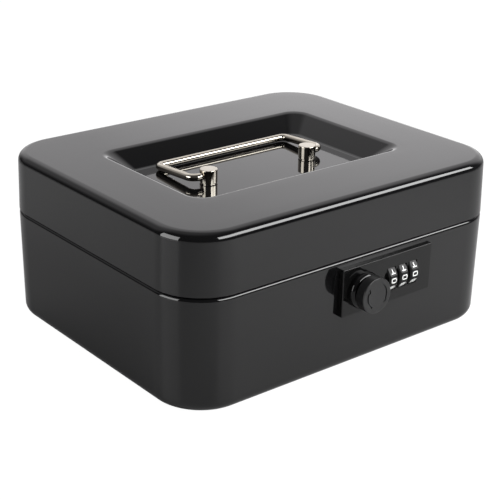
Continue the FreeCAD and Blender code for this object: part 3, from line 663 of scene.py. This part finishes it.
# ---- Number wheels -------------------------------------------------------------------------------
# each digit as strokes between points of a grid; x and y from 0 to 1
GLYPHS = {
    0: [[(0, 0), (1, 0), (1, 1), (0, 1), (0, 0)]],
    1: [[(0.5, 0), (0.5, 1)], [(0.15, 0), (0.85, 0)]],
    2: [[(0, 1), (1, 1), (1, 0.5), (0, 0.5), (0, 0), (1, 0)]],
    3: [[(0, 1), (1, 1), (1, 0), (0, 0)], [(0.15, 0.5), (1, 0.5)]],
    4: [[(0, 1), (0, 0.5), (1, 0.5)], [(1, 1), (1, 0)]],
    5: [[(1, 1), (0, 1), (0, 0.5), (1, 0.5), (1, 0), (0, 0)]],
    6: [[(1, 1), (0, 1), (0, 0), (1, 0), (1, 0.5), (0, 0.5)]],
    7: [[(0, 1), (1, 1), (1, 0)]],
    8: [[(0, 0), (1, 0), (1, 1), (0, 1), (0, 0)], [(0, 0.5), (1, 0.5)]],
    9: [[(0, 0), (1, 0), (1, 1), (0, 1), (0, 0.5), (1, 0.5)]],
}
GRID_WIDTH = GLYPH_WIDTH - STROKE
GRID_HEIGHT = GLYPH_HEIGHT - STROKE


def stroke_block(work, start, end, place):
    """Raised bar with square ends between two grid points; place moves it onto its facet."""
    a = Vector((start[0] * GRID_WIDTH, start[1] * GRID_HEIGHT))
    b = Vector((end[0] * GRID_WIDTH, end[1] * GRID_HEIGHT))
    run = (b - a).normalized() * (STROKE / 2)
    side = Vector((-run.y, run.x))
    outline = [a - run + side, b + run + side, b + run - side, a - run - side]
    low = [work.verts.new(place @ Vector((point.x, DIGIT_ROOT, point.y))) for point in outline]
    high = [work.verts.new(place @ Vector((point.x, -DIGIT_RAISE, point.y))) for point in outline]
    work.faces.new(high)
    work.faces.new(low[::-1])
    for i in range(4):
        work.faces.new([low[i], low[(i + 1) % 4], high[(i + 1) % 4], high[i]])


def make_wheel(index):
    """Painted digits of a number wheel, and the rolled edges of its facets."""
    node = "number_wheel_%d" % index
    low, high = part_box(node)
    centre = (Vector(low) + Vector(high)) / 2
    onto_facet = Matrix.Translation((-GRID_WIDTH / 2, -WHEEL_FLAT_R, -GRID_HEIGHT / 2))
    work = bmesh.new()
    for digit, strokes in GLYPHS.items():
        turn = Matrix.Rotation(-2 * math.pi * digit / len(GLYPHS), 4, "X")
        place = Matrix.Translation(centre) @ turn @ onto_facet
        for stroke in strokes:
            for start, end in zip(stroke, stroke[1:]):
                stroke_block(work, start, end, place)
    bmesh.ops.recalc_face_normals(work, faces=work.faces)
    name = "wheel_digits_%d" % index
    new_piece(name, mesh_from_work(name, work), DIGIT, "wheel_%d" % index)
    rounding = NODES[node].modifiers.new("rounded_facets", "BEVEL")
    rounding.width = FACET_ROUND
    rounding.segments = FACET_ROUND_STEPS
    rounding.limit_method = "ANGLE"
    rounding.angle_limit = math.radians(FACET_EDGE_ANGLE)


def dress_nodes():
    """Gives every carried-over node the material of its slot."""
    for entry in frame["record"]["subparts"]:
        for material_slot in NODES[entry["node"]].material_slots:
            material_slot.material = SLOT_MATERIALS[entry["material_slot"]]


# ---- Floor ---------------------------------------------------------------------------------------
FLOOR_HALF = 6.0
FLOOR_GLOW = 1.15
FLOOR_GLOW_SHARE = 0.85       # of what the lens sees directly


def make_floor():
    """Pale paper; what the lens sees of it is mostly evened out to a plain white ground."""
    corners = [(x * FLOOR_HALF, y * FLOOR_HALF, 0) for x, y in ((-1, -1), (1, -1), (1, 1), (-1, 1))]
    mesh = mesh_from("floor", corners, [(0, 1, 2, 3)])
    floor = bpy.data.objects.new("floor", mesh)
    bpy.context.scene.collection.objects.link(floor)
    nodes = Nodes("floor_paper")
    nodes.tint(nodes.noise(3, 3), (0.38, 0.38, 0.382), (0.40, 0.40, 0.40))
    nodes.set(Roughness=0.35, Specular_IOR_Level=0.12)
    glow = nodes.tree.nodes.new("ShaderNodeEmission")
    glow.inputs["Strength"].default_value = FLOOR_GLOW
    seen = nodes.tree.nodes.new("ShaderNodeLightPath")
    share = nodes.tree.nodes.new("ShaderNodeMath")
    share.operation = "MULTIPLY"
    share.inputs[1].default_value = FLOOR_GLOW_SHARE
    mix = nodes.tree.nodes.new("ShaderNodeMixShader")
    nodes.link(seen.outputs["Is Camera Ray"], share.inputs[0])
    nodes.link(share.outputs["Value"], mix.inputs["Fac"])
    nodes.link(nodes.shader.outputs["BSDF"], mix.inputs[1])
    nodes.link(glow.outputs["Emission"], mix.inputs[2])
    nodes.link(mix.outputs["Shader"], nodes.tree.nodes["Material Output"].inputs["Surface"])
    mesh.materials.append(nodes.material)


# ---- Light ---------------------------------------------------------------------------------------
# soft glows of the studio walls: azimuth, elevation, brightness, full within, gone beyond (degrees)
GLOWS = [
    (45, 25, 1.0, 28, 56),
    (45, 5, 1.0, 0, 18),
    (110, 36, 0.4, 10, 34),
    (80, 75, 0.4, 10, 45),
]
AMBIENT = 0.06
GLOW_TINT = (1.0, 0.985, 1.0, 1)


def direction_of(azimuth, elevation):
    """Unit vector; azimuth in degrees from +X towards +Y, elevation in degrees above the floor."""
    a, e = math.radians(azimuth), math.radians(elevation)
    return Vector((math.cos(a) * math.cos(e), math.sin(a) * math.cos(e), math.sin(e)))


def make_walls():
    """World light: an even ambient and the soft glows."""
    world = bpy.data.worlds.new("studio")
    world.use_nodes = True
    tree = world.node_tree
    direction = tree.nodes.new("ShaderNodeTexCoord").outputs["Generated"]
    total = None
    for azimuth, elevation, brightness, inner, outer in GLOWS:
        dot = tree.nodes.new("ShaderNodeVectorMath")
        dot.operation = "DOT_PRODUCT"
        dot.inputs[1].default_value = direction_of(azimuth, elevation)
        tree.links.new(direction, dot.inputs[0])
        angle = tree.nodes.new("ShaderNodeMath")
        angle.operation = "ARCCOSINE"
        tree.links.new(dot.outputs["Value"], angle.inputs[0])
        fall = tree.nodes.new("ShaderNodeMapRange")
        fall.interpolation_type = "SMOOTHSTEP" if inner else "LINEAR"
        fall.inputs["From Min"].default_value = math.radians(inner)
        fall.inputs["From Max"].default_value = math.radians(outer)
        fall.inputs["To Min"].default_value = brightness
        fall.inputs["To Max"].default_value = 0
        tree.links.new(angle.outputs["Value"], fall.inputs["Value"])
        add = tree.nodes.new("ShaderNodeMath")
        add.operation = "ADD"
        add.inputs[1].default_value = AMBIENT
        tree.links.new(fall.outputs["Result"], add.inputs[0])
        if total:
            tree.links.new(total, add.inputs[1])
        total = add.outputs["Value"]
    tree.links.new(total, tree.nodes["Background"].inputs["Strength"])
    tree.nodes["Background"].inputs["Color"].default_value = GLOW_TINT
    bpy.context.scene.world = world


def area_light(name, shape, place, size, watts):
    data = bpy.data.lights.new(name, "AREA")
    data.shape = shape
    data.size = size
    data.energy = watts
    light = bpy.data.objects.new(name, data)
    light.location = place
    light.visible_camera = False
    bpy.context.scene.collection.objects.link(light)
    return light


def upright_panel(name, azimuth, spread, low, high, distance, radiance):
    """Softbox that stands round the box at azimuth, spread wide, between two elevations (degrees)."""
    z0, z1 = (distance * math.tan(math.radians(elevation)) for elevation in (low, high))
    width, height = 2 * distance * math.tan(math.radians(spread / 2)), z1 - z0
    out = direction_of(azimuth, 0)
    place = out * distance + Vector((0, 0, (z0 + z1) / 2))
    light = area_light(name, "RECTANGLE", place, width, radiance * math.pi * width * height)
    light.data.size_y = height
    light.rotation_euler = (-out).to_track_quat("-Z", "Y").to_euler()


def floor_light(name, place, size, watts):
    """Evens out the floor beside the box; polished surfaces do not mirror it."""
    light = area_light(name, "DISK", place, size, watts)
    light.visible_glossy = False


def make_lights():
    upright_panel("front_softbox", azimuth=296, spread=64, low=24.5, high=43, distance=0.84, radiance=11.0)
    upright_panel("left_softbox", azimuth=172, spread=38, low=2, high=33, distance=1.1, radiance=5.5)
    floor_light("front_floor_light", place=(0.11, -0.37, 0.33), size=0.15, watts=1.8)
    floor_light("left_floor_light", place=(-0.38, 0.29, 0.30), size=0.15, watts=0.75)


# ---- Camera --------------------------------------------------------------------------------------
CAMERA_PLACE = (-0.38742, -0.47209, 0.28657)
CAMERA_YAW = 0.6868           # radians, from +Y towards +X
CAMERA_PITCH = 0.3942         # below the horizon
CAMERA_ROLL = 0.0193
SENSOR = 36.0                 # sensor and lens in millimetres
LENS = 91.156
CLIP_NEAR, CLIP_FAR = 0.02, 50


def make_camera():
    data = bpy.data.cameras.new("camera")
    data.sensor_width = SENSOR
    data.lens = LENS
    data.clip_start = CLIP_NEAR
    data.clip_end = CLIP_FAR
    camera = bpy.data.objects.new("camera", data)
    aim = Euler((math.pi / 2 - CAMERA_PITCH, 0, -CAMERA_YAW)).to_matrix()
    turn = aim @ Matrix.Rotation(CAMERA_ROLL, 3, "Z")
    camera.matrix_world = Matrix.Translation(CAMERA_PLACE) @ turn.to_4x4()
    bpy.context.scene.collection.objects.link(camera)
    bpy.context.scene.camera = camera
    bpy.context.scene.view_settings.view_transform = "Standard"


# ---- Building it all -----------------------------------------------------------------------------
make_base()
make_lid()
make_post("left", -1)
make_post("right", 1)
make_bail()
for wheel in (1, 2, 3):
    make_wheel(wheel)
dress_nodes()
make_floor()
make_walls()
make_lights()
make_camera()
